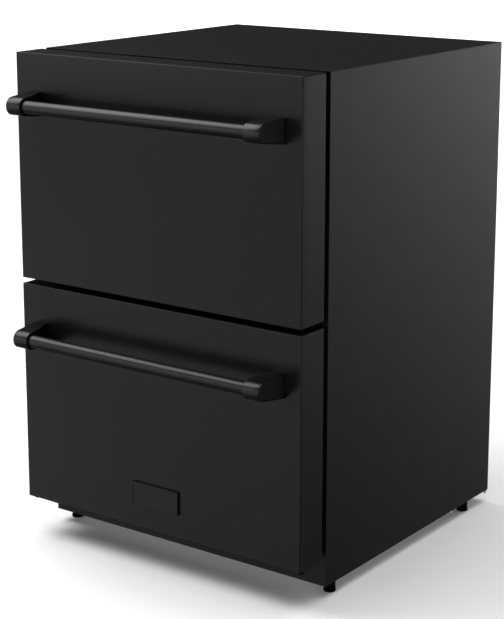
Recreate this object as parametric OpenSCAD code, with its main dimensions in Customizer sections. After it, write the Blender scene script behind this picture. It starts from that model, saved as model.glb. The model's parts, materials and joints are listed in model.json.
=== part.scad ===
// Undercounter freezer with two drawers.
// Millimetres. X is left to right, -Y is the front, Z is up from the floor.
// X = 0 is the middle of the width and Y = 0 the middle of the depth over the handles.

/* [Cabinet] */
// Width of the cabinet over its side panels
cabinet_w = 596; // [580:1:610]
// Depth of the cabinet behind the drawer fronts
cabinet_d = 556; // [550:1:590]
// Height of the cabinet without its feet
cabinet_h = 853; // [840:1:880]
// Thickness of the outer steel sheet
sheet_t = 1; // [0.8:0.1:1.4]
// Width of the folded hem at the front edges of the sheets
hem_w = 10; // [8:0.5:11]
// Side wall, from the outer face to the cold space
side_wall = 42; // [38:1:46]
// Roof wall, from the outer face to the cold space
roof_wall = 48; // [44:1:54]
// Floor wall, from the cabinet's lower edge to the cold space
floor_wall = 83; // [81:1:90]
// Back wall, from the outer face to the cold space
back_wall = 55; // [48:1:62]
// Thickness of the plastic liner
liner_t = 2.5; // [2:0.1:3]
// Radius of the liner's inner corners
liner_corner_r = 18; // [12:1:24]
// Width of the liner's front lip
liner_lip = 9; // [6:0.5:11]
// Height of the kick plate
kick_h = 51; // [46:1:56]
// Height of the rail between the two drawers
mullion_h = 76; // [72:1:84]
// Depth of the rail between the two drawers
mullion_d = 45; // [38:1:52]

/* [Machine space] */
// Depth of the machine space at the bottom rear
machine_d = 210; // [204:1:220]
// Height of the machine space above the cabinet's lower edge
machine_h = 230; // [222:1:240]
// Insulated wall between the machine space and the cold space
step_wall = 42; // [36:1:46]
// Thickness of the base pan
pan_t = 1.5; // [1.2:0.1:2]
// How far the rear cover lies inside the back of the cabinet
cover_recess = 6; // [5:0.5:8]
// Width of each air slot in the rear cover
slot_w = 5; // [4:0.5:6]
// Height of each air slot in the rear cover
slot_h = 60; // [50:1:70]
// Radius of the compressor's can
compressor_r = 60; // [54:1:62]
// Height of the compressor's can
compressor_h = 150; // [140:1:156]
// Thickness of the condenser coil along the air flow
condenser_t = 44; // [36:1:46]
// Height of the condenser coil
condenser_h = 150; // [138:1:160]
// Radius of the condenser fan
condenser_fan_r = 56; // [50:1:58]
// Radius of the bore for the mains cord in its gland
gland_bore_r = 4.5; // [4:0.1:5.5]
// Length of the cord gland
gland_l = 18; // [14:1:24]

/* [Evaporator] */
// Depth of the space behind the evaporator cover
evap_space = 60; // [58:1:66]
// Thickness of the evaporator cover
evap_cover_t = 3; // [2.5:0.1:3.5]
// Width of the evaporator coil
evap_w = 400; // [360:5:430]
// Height of the evaporator coil
evap_h = 180; // [160:5:200]
// Depth of the evaporator coil
evap_d = 42; // [36:1:46]
// Radius of the evaporator fan
evap_fan_r = 42; // [38:1:46]

/* [Feet] */
// Height of the cabinet's lower edge above the floor
foot_h = 23; // [20:1:30]
// Radius of a foot's pad
foot_r = 10.5; // [9:0.5:12]
// Radius of a foot's threaded stud
stud_r = 4; // [3:0.5:5]
// Length of a foot's threaded stud
stud_l = 32; // [28:1:34]
// Foot centre in from the cabinet's side
foot_side_inset = 16; // [14:0.5:18]
// Front foot centre behind the cabinet's front plane
foot_front_inset = 36; // [30:1:44]
// Rear foot centre in front of the cabinet's back
foot_rear_inset = 70; // [60:1:80]

/* [Drawer fronts] */
// Thickness of a drawer front
front_d = 63; // [56:1:70]
// Gap between the drawer fronts and the cabinet, filled by the seal
gasket_gap = 12.5; // [10:0.5:15]
// Upper drawer front's top edge below the cabinet's top
front_top_drop = 0.5; // [0:0.5:3]
// Lower drawer front's bottom edge above the cabinet's lower edge
front_rise = 48.8; // [46:0.1:52]
// Gap between the two drawer fronts
front_split = 9.7; // [7:0.1:12]
// Depth of the steel front panel's folded edge
panel_fold = 10; // [8:0.5:14]
// Thickness of the steel front panel
panel_t = 1.2; // [0.8:0.1:1.5]
// Radius of the steel front panel's front edges
panel_edge_r = 2; // [1:0.25:3]
// Radius of a drawer front's four corners, seen from the front
front_corner_r = 2.5; // [1:0.25:4]
// Wall of the front's inner casing
casing_t = 2; // [1.5:0.1:2.5]
// Seal in from the drawer front's edges
gasket_inset = 12; // [11:0.5:13]
// Width of the seal
gasket_w = 18; // [16:0.5:20]

/* [Handles] */
// Bar centre in front of the drawer front
handle_standoff = 50; // [44:1:60]
// Bar centre below the drawer front's top edge
handle_drop = 84.5; // [70:0.5:100]
// Diameter of the bar
bar_dia = 22.5; // [18:0.5:25]
// Radius of the bracket's round end
collar_r = 15.5; // [14:0.5:18]
// Handle's end faces in from the cabinet's sides
handle_inset = 36; // [24:1:58]
// Length of a bracket's round end along the bar
collar_l = 31; // [26:1:36]
// Depth of the socket that takes the bar's end
socket_l = 20; // [14:1:24]
// Bracket foot above the bar centre
bracket_rise = 19.5; // [17:0.5:24]
// Bracket foot below the bar centre
bracket_fall = 22.5; // [19:0.5:27]

/* [Badge] */
// Width of the bare badge plate
badge_w = 100; // [80:1:120]
// Height of the bare badge plate
badge_h = 41; // [30:1:50]
// Thickness of the bare badge plate
badge_t = 3; // [2:0.5:4]
// Badge plate above the lower front's bottom edge
badge_rise = 42.6; // [30:0.1:60]

/* [Drawers] */
// Rear ends of the rails in front of the evaporator's cover
rail_rear_gap = 29; // [15:1:45]
// Height of a telescopic rail
rail_h = 45; // [42:1:48]
// Width of a telescopic rail, from the liner to the drawer
rail_w = 12.7; // [12:0.1:14]
// Sheet of the rails
rail_t = 1.2; // [1:0.1:1.4]
// Rail centre below the top of the lower drawer's space
lower_rail_drop = 64; // [56:1:72]
// Rail centre below the top of the upper drawer's space
upper_rail_drop = 78; // [70:1:86]
// Wall of a drawer bin
bin_t = 2.5; // [2:0.1:3.5]
// Radius of a bin's upright corners
bin_corner_r = 16; // [10:1:22]

/* [Controls] */
// Width of the control panel under the roof of the cold space
control_w = 220; // [200:5:260]
// Height of the control panel
control_h = 28; // [25:0.5:30]
// Radius of a push button
button_r = 6; // [5:0.25:6.5]
// How far a push button stands out of the control panel
button_proud = 1.5; // [1.2:0.1:2.5]
// Width of the display window
display_w = 60; // [50:1:70]

/* [Hidden] */
$fn = 64;

// Overlap that only keeps a cut clear of the face it starts from
cut = 1;
// Running clearance between a shaft and its bore
fit = 0.05;
// Clearance around a loose part
slack = 0.3;

// Planes of the whole unit
overall_d = handle_standoff + collar_r + front_d + gasket_gap + cabinet_d;
back_y = overall_d / 2;
case_y = back_y - cabinet_d;
front_back_y = case_y - gasket_gap;
front_face_y = front_back_y - front_d;
bar_y = front_face_y - handle_standoff;
half_w = cabinet_w / 2;
inner_half_w = half_w - sheet_t;
base_z = foot_h;
pan_top_z = base_z + pan_t;
top_z = base_z + cabinet_h;
roof_z = top_z - sheet_t;
kick_top_z = base_z + kick_h;
foam_front_y = case_y + sheet_t;
foam_back_y = back_y - sheet_t;

// Drawer fronts
front_h = (cabinet_h - front_top_drop - front_rise - front_split) / 2;
lower_front_z = base_z + front_rise;
upper_front_z = lower_front_z + front_h + front_split;
split_z = upper_front_z - front_split / 2;

// Cold space
bay_half_w = half_w - side_wall;
bay_top_z = top_z - roof_wall;
bay_floor_z = base_z + floor_wall;
bay_back_y = back_y - back_wall;
evap_cover_y = bay_back_y - evap_space;
mullion_low_z = split_z - mullion_h / 2;
mullion_top_z = split_z + mullion_h / 2;
machine_y = back_y - machine_d;
machine_top_z = base_z + machine_h;
step_y = machine_y - step_wall;
step_z = machine_top_z + step_wall;

// Feet and their sockets in the base pan
foot_x = half_w - foot_side_inset;
front_foot_y = case_y + foot_front_inset;
rear_foot_y = back_y - foot_rear_inset;
foot_socket_wall = 4;
foot_socket_l = stud_l + 2;
foot_edge_r = 1.5;
foot_neck = 2;

// Raised back of a drawer front, which reaches into the cold space
plug_gap = 6;
plug_reach = 6;
plug_half_w = bay_half_w - plug_gap;
plug_back_y = case_y + plug_reach;

// Telescopic rails and the drawer frame that they carry
rail_front_y = case_y + 12;
rail_back_y = evap_cover_y - rail_rear_gap;
rail_play = 0.5;
rail_flange = 10;
arm_t = 1.5;
arm_h = rail_h - 4 * rail_t - 4 * rail_play;
arm_half_w = bay_half_w - rail_w;
lower_rail_z = mullion_low_z - lower_rail_drop;
upper_rail_z = bay_top_z - upper_rail_drop;
tab_w = 26;

// Bins
bin_play = 1;
bin_rim_h = 3;
bin_floor_gap = 12;
bin_half_w = arm_half_w - arm_t - bin_play;
bin_front_y = plug_back_y + arm_t + bin_play;
bin_back_y = rail_back_y - arm_t - bin_play;
bin_step_y = step_y - bin_floor_gap;

// Handle brackets: their foot on the front panel is narrower than the round end, and their
// neck starts a little inside it
neck_inset = 0.4;
handle_half_l = half_w - handle_inset;
bracket_foot_out = 6;
bracket_foot_in = 13;
bracket_foot_half = (collar_l + bracket_foot_out - bracket_foot_in) / 2;
bracket_foot_x = handle_half_l + bracket_foot_out - bracket_foot_half;
screw_r = 2.5;
screw_l = 18;
screw_head_r = 4.5;
screw_head_h = 3;
screw_spread = 10;
screw_shift = (bracket_rise - bracket_fall) / 2;

// Evaporator and its fan
evap_z = step_z + 30;
fin_t = 1;
tube_r = 4;
evap_fins = 16;
evap_tubes = 6;
evap_fan_z = bay_top_z - 96;
evap_fan_gap = 4;
fan_hub_l = 16;
fan_blades = 5;
fan_blade_t = 2;
fan_chord = 20;
fan_pitch = 32;
shaft_r = 2;
evap_hub_r = 14;
motor_r = 18;
motor_l = 20;
spoke_w = 5;
spoke_t = 3;
spokes = 3;

// Machine space
cover_y = back_y - cover_recess;
slot_pitch = 16;
slot_columns = 24;
slot_shift = -40;
slot_gap = 18;
machine_mid_y = (machine_y + cover_y) / 2;
grommet_r = 10;
grommet_h = 12;
mount_stud_r = 3;
plate_t = 3;
compressor_x = 70;
compressor_plate_w = 190;
compressor_plate_d = 130;
compressor_stud_x = 82;
compressor_stud_y = 52;
compressor_edge_r = 25;
compressor_z = pan_top_z + grommet_h;
compressor_top_z = compressor_z + plate_t + compressor_h;
tray_w = 150;
tray_d = 110;
tray_h = 32;
tray_t = 2;
condenser_x = -half_w + 30;
condenser_w = 150;
condenser_fins = 16;
condenser_tubes = 6;
condenser_lift = 4;
shroud_x = condenser_x + condenser_t;
shroud_t = 3;
shroud_duct = 20;
shroud_gap = 5;
shroud_half = 76;
shroud_mid_z = pan_top_z + shroud_half;
condenser_hub_r = 16;
controller_w = 56;
controller_d = 120;
controller_h = 110;
controller_x = half_w - 30 - controller_w;
gland_x = half_w - 60;
gland_z = base_z + 60;
gland_wall = 4;
gland_flange = 4;
gland_flange_t = 3;

// Control panel
control_y = case_y + 16;
control_d = 46;
control_t = 2.5;
control_z = bay_top_z - control_h;
control_mid_z = control_z + control_h / 2;
button_pitch = 26;
button_x = 42;
button_gap = 0.2;
button_flange = 2;
button_flange_t = 1.5;
display_x = -56;
display_h = 14;
display_t = 1;
light_y = case_y + 78;
light_w = 300;
light_r = 9;

// Badge
badge_rim = 2;
badge_recess = 1;

// Box between two opposite corners
module box(low, high) {
    translate(low)
        cube(high - low);
}

// Rectangle with round corners, centred on the origin
module round_rect(w, h, r) {
    square([w - 2 * r, h], center = true);
    square([w, h - 2 * r], center = true);
    for (sx = [-1, 1], sy = [-1, 1])
        translate([sx * (w / 2 - r), sy * (h / 2 - r)])
            circle(r = r);
}

// Drawing in X and Z, extruded from y0 to y1
module along_y(y0, y1) {
    translate([0, y1, 0])
        rotate([90, 0, 0])
            linear_extrude(y1 - y0)
                children();
}

// Drawing in Y and Z, extruded from x0 to x1
module along_x(x0, x1) {
    translate([x0, 0, 0])
        rotate([90, 0, 90])
            linear_extrude(x1 - x0)
                children();
}

// Round bar along X
module rod_x(r, x0, x1, y, z) {
    translate([x0, y, z])
        rotate([0, 90, 0])
            cylinder(r = r, h = x1 - x0);
}

// Round bar along Y
module rod_y(r, y0, y1, x, z) {
    translate([x, y1, z])
        rotate([90, 0, 0])
            cylinder(r = r, h = y1 - y0);
}

// Half of a bend that joins two tubes along X, bulging towards side s
module bend_x(r, x, y, z, pitch, s) {
    translate([x, y, z])
        rotate([90, s > 0 ? -90 : 90, 0])
            rotate_extrude(angle = 180)
                translate([pitch / 2, 0])
                    circle(r = r);
}

// Cold space seen from the front, grown by g, from height z0
module bay_outline(z0, g) {
    translate([0, (z0 + bay_top_z) / 2])
        round_rect(2 * (bay_half_w + g), bay_top_z - z0 + 2 * g, liner_corner_r + g);
}

// Outer shape of the liner, which the foam is moulded around
module liner_block() {
    along_y(foam_front_y, foam_front_y + liner_t)
        bay_outline(bay_floor_z, liner_t + liner_lip);
    along_y(foam_front_y, step_y + liner_t)
        bay_outline(bay_floor_z, liner_t);
    along_y(foam_front_y, bay_back_y + liner_t)
        bay_outline(step_z, liner_t);
}

module inner_liner() {
    color([0.9, 0.91, 0.92])
        difference() {
            liner_block();
            along_y(foam_front_y - cut, step_y)
                bay_outline(bay_floor_z, 0);
            along_y(foam_front_y - cut, bay_back_y)
                bay_outline(step_z, 0);
        }
}

// Where the four feet stand
module at_feet() {
    for (sx = [-1, 1], y = [front_foot_y, rear_foot_y])
        translate([sx * foot_x, y, 0])
            children();
}

// Where the four studs of the compressor stand
module at_compressor_studs() {
    for (sx = [-1, 1], sy = [-1, 1])
        translate([compressor_x + sx * compressor_stud_x, machine_mid_y + sy * compressor_stud_y, 0])
            children();
}

module cabinet_foam() {
    color([0.93, 0.86, 0.66])
        difference() {
            box([-inner_half_w, foam_front_y, pan_top_z], [inner_half_w, foam_back_y, roof_z]);
            box([-half_w, machine_y, base_z], [half_w, back_y, machine_top_z]);
            liner_block();
            at_feet()
                translate([0, 0, base_z])
                    cylinder(r = stud_r + foot_socket_wall + slack, h = foot_socket_l + slack);
        }
}

// Side sheet with its front hem, on side s
module side_panel(s) {
    color([0.16, 0.16, 0.17])
        mirror([s < 0 ? 1 : 0, 0, 0]) {
            box([inner_half_w, case_y, base_z], [half_w, back_y, roof_z]);
            box([half_w - hem_w, case_y, kick_top_z], [half_w, foam_front_y, roof_z]);
        }
}

module top_panel() {
    color([0.17, 0.17, 0.18])
        union() {
            box([-half_w, case_y, roof_z], [half_w, back_y, top_z]);
            box([-half_w + hem_w, case_y, roof_z - hem_w], [half_w - hem_w, foam_front_y, top_z]);
        }
}

module back_panel() {
    color([0.2, 0.2, 0.21])
        box([-inner_half_w, foam_back_y, machine_top_z], [inner_half_w, back_y, roof_z]);
}

module kick_plate() {
    color([0.13, 0.13, 0.14])
        box([-inner_half_w, case_y, base_z], [inner_half_w, foam_front_y, kick_top_z]);
}

// Steel face around the two openings, where the seals land
module front_frame() {
    frame_half_w = half_w - hem_w;
    frame_top_z = roof_z - hem_w;
    color([0.15, 0.15, 0.16])
        along_y(case_y, foam_front_y) {
            difference() {
                translate([-frame_half_w, kick_top_z])
                    square([2 * frame_half_w, frame_top_z - kick_top_z]);
                bay_outline(bay_floor_z, 0);
            }
            translate([-bay_half_w - cut, mullion_low_z])
                square([2 * (bay_half_w + cut), mullion_h]);
        }
}

module mullion() {
    color([0.86, 0.87, 0.88])
        box([-bay_half_w, foam_front_y, mullion_low_z], [bay_half_w, case_y + mullion_d, mullion_top_z]);
}

// Base pan, bent up around the machine space, with the feet's sockets, the compressor's
// studs and the rear tabs
module base_pan() {
    rear_tab_l = 9;
    rear_tab_h = 5;
    rear_tab_gap = 66;
    color([0.62, 0.63, 0.64])
        difference() {
            union() {
                box([-inner_half_w, foam_front_y, base_z], [inner_half_w, foam_back_y, pan_top_z]);
                box([-inner_half_w, machine_y, base_z], [inner_half_w, machine_y + pan_t, machine_top_z]);
                box([-inner_half_w, machine_y, machine_top_z - pan_t],
                    [inner_half_w, cover_y - sheet_t, machine_top_z]);
                at_feet()
                    translate([0, 0, base_z])
                        cylinder(r = stud_r + foot_socket_wall, h = foot_socket_l);
                at_compressor_studs()
                    translate([0, 0, base_z])
                        cylinder(r = mount_stud_r, h = pan_t + grommet_h + 2 * plate_t);
                for (s = [0, 1], dy = [-rear_tab_gap, rear_tab_gap - rear_tab_l])
                    mirror([s, 0, 0])
                        box([inner_half_w - pan_t, rear_foot_y + dy, base_z - rear_tab_h],
                            [inner_half_w, rear_foot_y + dy + rear_tab_l, pan_top_z]);
            }
            at_feet()
                translate([0, 0, base_z - cut])
                    cylinder(r = stud_r + fit, h = foot_socket_l + 2 * cut);
        }
}

// Levelling foot: a pad with a rounded sole and its threaded stud
module foot(x, y) {
    color([0.06, 0.06, 0.06])
        translate([x, y, 0]) {
            rotate_extrude() {
                square([foot_r - foot_edge_r, foot_h]);
                translate([0, foot_edge_r])
                    square([foot_r, foot_h - foot_edge_r - foot_neck]);
                translate([foot_r - foot_edge_r, foot_edge_r])
                    circle(r = foot_edge_r);
            }
            cylinder(r = stud_r, h = foot_h + stud_l);
        }
}

// Can with rounded shoulders, standing on z = 0
module can(r, h, edge) {
    rotate_extrude() {
        square([r - edge, h]);
        translate([0, edge])
            square([r, h - 2 * edge]);
        for (z = [edge, h - edge])
            translate([r - edge, z])
                circle(r = edge);
    }
}

module compressor() {
    seam_h = 4;
    terminal_w = 44;
    terminal_h = 52;
    terminal_reach = 14;
    stub_r = 4;
    stub_l = 18;
    color([0.05, 0.05, 0.05])
        translate([compressor_x, machine_mid_y, compressor_z]) {
            difference() {
                translate([-compressor_plate_w / 2, -compressor_plate_d / 2, 0])
                    cube([compressor_plate_w, compressor_plate_d, plate_t]);
                translate([-compressor_x, -machine_mid_y, -cut])
                    at_compressor_studs()
                        cylinder(r = mount_stud_r + slack, h = plate_t + 2 * cut);
            }
            translate([0, 0, plate_t])
                intersection() {
                    translate([0, 0, -compressor_edge_r])
                        can(compressor_r, compressor_h + compressor_edge_r, compressor_edge_r);
                    cylinder(r = 2 * compressor_r, h = compressor_h);
                }
            translate([0, 0, plate_t + compressor_h / 2])
                cylinder(r = compressor_r + 2, h = seam_h);
            translate([compressor_r - terminal_reach, -terminal_w / 2, plate_t + terminal_h / 2])
                cube([2 * terminal_reach, terminal_w, terminal_h]);
            translate([-compressor_r / 2, 0, plate_t + compressor_h * 2 / 3])
                rotate([0, -90, 0])
                    cylinder(r = stub_r, h = compressor_r / 2 + stub_l);
        }
}

module compressor_grommets() {
    color([0.04, 0.04, 0.04])
        at_compressor_studs()
            translate([0, 0, pan_top_z])
                difference() {
                    cylinder(r = grommet_r, h = grommet_h);
                    translate([0, 0, -cut])
                        cylinder(r = mount_stud_r + slack, h = grommet_h + 2 * cut);
                }
}

// Pan on the compressor that catches and dries the melt water
module drip_tray() {
    color([0.1, 0.1, 0.1])
        translate([compressor_x - tray_w / 2, machine_mid_y - tray_d / 2, compressor_top_z])
            difference() {
                cube([tray_w, tray_d, tray_h]);
                translate([tray_t, tray_t, tray_t])
                    cube([tray_w - 2 * tray_t, tray_d - 2 * tray_t, tray_h]);
            }
}

// Coil with fins across its tubes: tubes along X, w by d by h, standing on z = 0
module finned_coil(w, d, h, fins, tubes) {
    pitch = h / tubes;
    fin_pitch = (w - fin_t) / (fins - 1);
    for (i = [0 : fins - 1])
        translate([i * fin_pitch, 0, 0])
            cube([fin_t, d, h]);
    for (j = [0 : tubes - 1])
        rod_x(tube_r, 0, w, d / 2, (j + 0.5) * pitch);
    for (j = [0 : tubes - 2])
        bend_x(tube_r, j % 2 == 0 ? w : 0, d / 2, (j + 1) * pitch, pitch, j % 2 == 0 ? 1 : -1);
}

module condenser() {
    color([0.12, 0.12, 0.12])
        translate([condenser_x, machine_mid_y, pan_top_z]) {
            translate([condenser_t, -condenser_w / 2, condenser_lift])
                rotate([0, 0, 90])
                    finned_coil(condenser_w, condenser_t, condenser_h - condenser_lift,
                                condenser_fins, condenser_tubes);
            for (s = [-1, 1])
                translate([0, s * (condenser_w - fin_t) / 2 - fin_t / 2, 0])
                    cube([condenser_t, fin_t, condenser_h]);
        }
}

// Motor with spokes, along Z: the motor's back is at z = 0 and its shaft points up
module fan_motor(reach) {
    cylinder(r = motor_r, h = motor_l);
    for (i = [0 : spokes - 1])
        rotate([0, 0, i * 360 / spokes])
            translate([0, -spoke_w / 2, 0])
                cube([reach, spoke_w, spoke_t]);
    cylinder(r = shaft_r, h = motor_l + fan_hub_l);
}

// Fan rotor along Z with its hub on z = 0
module rotor(hub_r, tip_r) {
    difference() {
        union() {
            cylinder(r = hub_r, h = fan_hub_l);
            intersection() {
                cylinder(r = tip_r, h = fan_hub_l);
                for (i = [0 : fan_blades - 1])
                    rotate([0, 0, i * 360 / fan_blades])
                        translate([hub_r / 2, 0, fan_hub_l / 2])
                            rotate([fan_pitch, 0, 0])
                                translate([0, -fan_chord / 2, -fan_blade_t / 2])
                                    cube([tip_r, fan_chord, fan_blade_t]);
            }
        }
        translate([0, 0, -cut])
            cylinder(r = shaft_r + fit, h = fan_hub_l + 2 * cut);
    }
}

module condenser_fan_shroud() {
    hole_r = condenser_fan_r + shroud_gap;
    color([0.08, 0.08, 0.08])
        translate([shroud_x, machine_mid_y, shroud_mid_z])
            rotate([0, 90, 0]) {
                difference() {
                    union() {
                        translate([-shroud_half, -shroud_half, 0])
                            cube([2 * shroud_half, 2 * shroud_half, shroud_t]);
                        cylinder(r = hole_r + shroud_t, h = shroud_duct + motor_l);
                    }
                    translate([0, 0, -cut])
                        cylinder(r = hole_r, h = shroud_duct + motor_l + 2 * cut);
                }
                translate([0, 0, shroud_duct + motor_l])
                    mirror([0, 0, 1])
                        fan_motor(hole_r + shroud_t / 2);
            }
}

module condenser_fan() {
    color([0.85, 0.85, 0.86])
        translate([shroud_x + shroud_duct - slack, machine_mid_y, shroud_mid_z])
            rotate([0, -90, 0])
                rotor(condenser_hub_r, condenser_fan_r);
}

module evaporator() {
    color([0.8, 0.81, 0.82])
        translate([-evap_w / 2, bay_back_y - evap_d, evap_z]) {
            finned_coil(evap_w, evap_d - fin_t, evap_h, evap_fins, evap_tubes);
            for (x = [0, evap_w - fin_t])
                translate([x, 0, 0])
                    cube([fin_t, evap_d, evap_h]);
        }
}

// Cover in front of the evaporator: a shallow tray with a fan guard and air slots
module evaporator_cover() {
    slots = 14;
    return_slot_w = 8;
    return_slot_h = 26;
    return_pitch = 28;
    return_rise = 12;
    cover_gap = 0.5;
    guard_pitch = 14;
    guard_bars = 5;
    guard_w = 3;
    guard_t = 2;
    guard_r = evap_fan_r + evap_fan_gap;
    color([0.92, 0.93, 0.94])
        difference() {
            along_y(evap_cover_y, bay_back_y)
                bay_outline(step_z, -cover_gap);
            along_y(evap_cover_y + evap_cover_t, bay_back_y + cut)
                bay_outline(step_z, -cover_gap - evap_cover_t);
            difference() {
                rod_y(guard_r, evap_cover_y - cut, evap_cover_y + evap_cover_t + cut, 0, evap_fan_z);
                for (i = [0 : guard_bars - 1])
                    translate([-guard_r - cut, evap_cover_y - 2 * cut,
                               evap_fan_z + (i - (guard_bars - 1) / 2) * guard_pitch - guard_w / 2])
                        cube([2 * (guard_r + cut), guard_t + 2 * cut, guard_w]);
            }
            for (i = [0 : slots - 1])
                translate([(i - (slots - 1) / 2) * return_pitch - return_slot_w / 2, evap_cover_y - cut,
                           step_z + return_rise])
                    cube([return_slot_w, evap_cover_t + 2 * cut, return_slot_h]);
        }
}

// Motor behind the cover, with a mounting ring around the fan opening
module evaporator_fan_motor() {
    ring_r = evap_fan_r + evap_fan_gap;
    ring_w = 5;
    ring_back_y = evap_cover_y + evap_cover_t;
    depth = motor_l + fan_hub_l;
    color([0.1, 0.1, 0.1])
        translate([0, ring_back_y + depth, evap_fan_z])
            rotate([90, 0, 0]) {
                difference() {
                    cylinder(r = ring_r + ring_w, h = depth);
                    translate([0, 0, -cut])
                        cylinder(r = ring_r, h = depth + 2 * cut);
                }
                fan_motor(ring_r + ring_w / 2);
            }
}

module evaporator_fan() {
    color([0.85, 0.86, 0.87])
        translate([0, evap_cover_y + evap_cover_t + fan_hub_l - slack, evap_fan_z])
            rotate([90, 0, 0])
                rotor(evap_hub_r, evap_fan_r);
}

// Slotted rear cover of the machine space, with flanges to the back panel and the pan
module machine_cover() {
    hole_r = gland_bore_r + gland_wall + fit;
    color([0.18, 0.18, 0.19])
        difference() {
            union() {
                box([-inner_half_w, cover_y - sheet_t, pan_top_z],
                    [inner_half_w, cover_y, machine_top_z]);
                box([-inner_half_w, cover_y - sheet_t, machine_top_z - sheet_t],
                    [inner_half_w, back_y, machine_top_z]);
                box([-inner_half_w, cover_y - sheet_t, pan_top_z],
                    [inner_half_w, foam_back_y, pan_top_z + sheet_t]);
            }
            for (i = [0 : slot_columns - 1], s = [-1, 1])
                translate([slot_shift + (i - (slot_columns - 1) / 2) * slot_pitch - slot_w / 2,
                           cover_y - sheet_t - cut,
                           base_z + machine_h / 2 + s * (slot_h + slot_gap) / 2 - slot_h / 2])
                    cube([slot_w, sheet_t + 2 * cut, slot_h]);
            rod_y(hole_r, cover_y - sheet_t - cut, cover_y + cut, gland_x, gland_z);
        }
}

module cord_gland() {
    body_r = gland_bore_r + gland_wall;
    gland_end_y = cover_y + gland_flange_t;
    color([0.05, 0.05, 0.05])
        difference() {
            union() {
                rod_y(body_r, gland_end_y - gland_l, gland_end_y, gland_x, gland_z);
                rod_y(body_r + gland_flange, cover_y, gland_end_y, gland_x, gland_z);
            }
            rod_y(gland_bore_r, gland_end_y - gland_l - cut, gland_end_y + cut, gland_x, gland_z);
        }
}

// Box for the control electronics, with its lid proud of the body
module controller_box() {
    lid_h = 8;
    lid_edge = 1.5;
    color([0.9, 0.9, 0.88])
        translate([controller_x, machine_mid_y - controller_d / 2, pan_top_z]) {
            cube([controller_w, controller_d, controller_h]);
            translate([-lid_edge, -lid_edge, controller_h - lid_h])
                cube([controller_w + 2 * lid_edge, controller_d + 2 * lid_edge, lid_h]);
        }
}

// Where button number i sits on the control panel
function button_place(i) = button_x + (i - 1) * button_pitch;

// Control housing under the roof, open at the top
module control_panel() {
    color([0.12, 0.12, 0.13])
        difference() {
            box([-control_w / 2, control_y, control_z],
                [control_w / 2, control_y + control_d, bay_top_z]);
            box([-control_w / 2 + control_t, control_y + control_t, control_z + control_t],
                [control_w / 2 - control_t, control_y + control_d - control_t, bay_top_z + cut]);
            for (i = [0 : 2])
                rod_y(button_r + button_gap, control_y - cut, control_y + control_t + cut,
                      button_place(i), control_mid_z);
            box([display_x - display_w / 2, control_y - cut, control_mid_z - display_h / 2],
                [display_x + display_w / 2, control_y + display_t, control_mid_z + display_h / 2]);
        }
}

module display_window() {
    color([0.02, 0.03, 0.04])
        box([display_x - display_w / 2, control_y, control_mid_z - display_h / 2],
            [display_x + display_w / 2, control_y + display_t, control_mid_z + display_h / 2]);
}

// Push button with the flange that keeps it in the panel
module push_button(i) {
    color([0.75, 0.76, 0.78])
        union() {
            rod_y(button_r, control_y - button_proud, control_y + control_t + button_flange_t,
                  button_place(i), control_mid_z);
            rod_y(button_r + button_flange, control_y + control_t,
                  control_y + control_t + button_flange_t, button_place(i), control_mid_z);
        }
}

// Light under the roof: a bar with a half-round lens
module light_strip() {
    color([0.95, 0.96, 0.97])
        intersection() {
            rod_x(light_r, -light_w / 2, light_w / 2, light_y, bay_top_z);
            box([-light_w / 2, light_y - light_r, bay_top_z - light_r],
                [light_w / 2, light_y + light_r, bay_top_z]);
        }
}

// C-shaped channel along Y: its web is at x = web_x, on the side that flange points away from
module channel(web_x, flange, h, z) {
    x0 = flange > 0 ? web_x : web_x - rail_t;
    f0 = flange > 0 ? web_x : web_x + flange;
    f1 = flange > 0 ? web_x + flange : web_x;
    box([x0, rail_front_y, z - h / 2], [x0 + rail_t, rail_back_y, z + h / 2]);
    for (s = [-1, 1])
        box([f0, rail_front_y, z + s * (h - rail_t) / 2 - rail_t / 2],
            [f1, rail_back_y, z + s * (h - rail_t) / 2 + rail_t / 2]);
}

// A pair of equal rails, one on each side of the cold space
module rail_pair() {
    color([0.72, 0.73, 0.75])
        for (s = [0, 1])
            mirror([s, 0, 0])
                children();
}

module cabinet_rails(z) {
    rail_pair()
        channel(bay_half_w, -rail_flange, rail_h, z);
}

module middle_rails(z) {
    rail_pair()
        channel(bay_half_w - rail_t - rail_play, rail_t + rail_play - rail_flange,
                rail_h - 2 * (rail_t + rail_play), z);
}

module drawer_rails(z) {
    rail_pair()
        channel(arm_half_w, rail_w - 2 * (rail_t + rail_play), arm_h, z);
}

// Steel frame that joins the rails to the drawer front and carries the bin
module drawer_frame(z) {
    color([0.78, 0.79, 0.8])
        union() {
            for (s = [0, 1])
                mirror([s, 0, 0]) {
                    box([arm_half_w - arm_t, plug_back_y, z - arm_h / 2],
                        [arm_half_w, rail_back_y, z + arm_h / 2]);
                    box([arm_half_w - tab_w, plug_back_y, z - arm_h / 2],
                        [arm_half_w, plug_back_y + arm_t, z + arm_h / 2]);
                }
            box([-arm_half_w, rail_back_y - arm_t, z - arm_h / 2],
                [arm_half_w, rail_back_y, z + arm_h / 2]);
        }
}

// Upright block with round corners, from y0 to y1 and z0 to z1
module bin_block(half, y0, y1, z0, z1, r) {
    translate([0, (y0 + y1) / 2, z0])
        linear_extrude(z1 - z0)
            round_rect(2 * half, y1 - y0, r);
}

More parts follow.
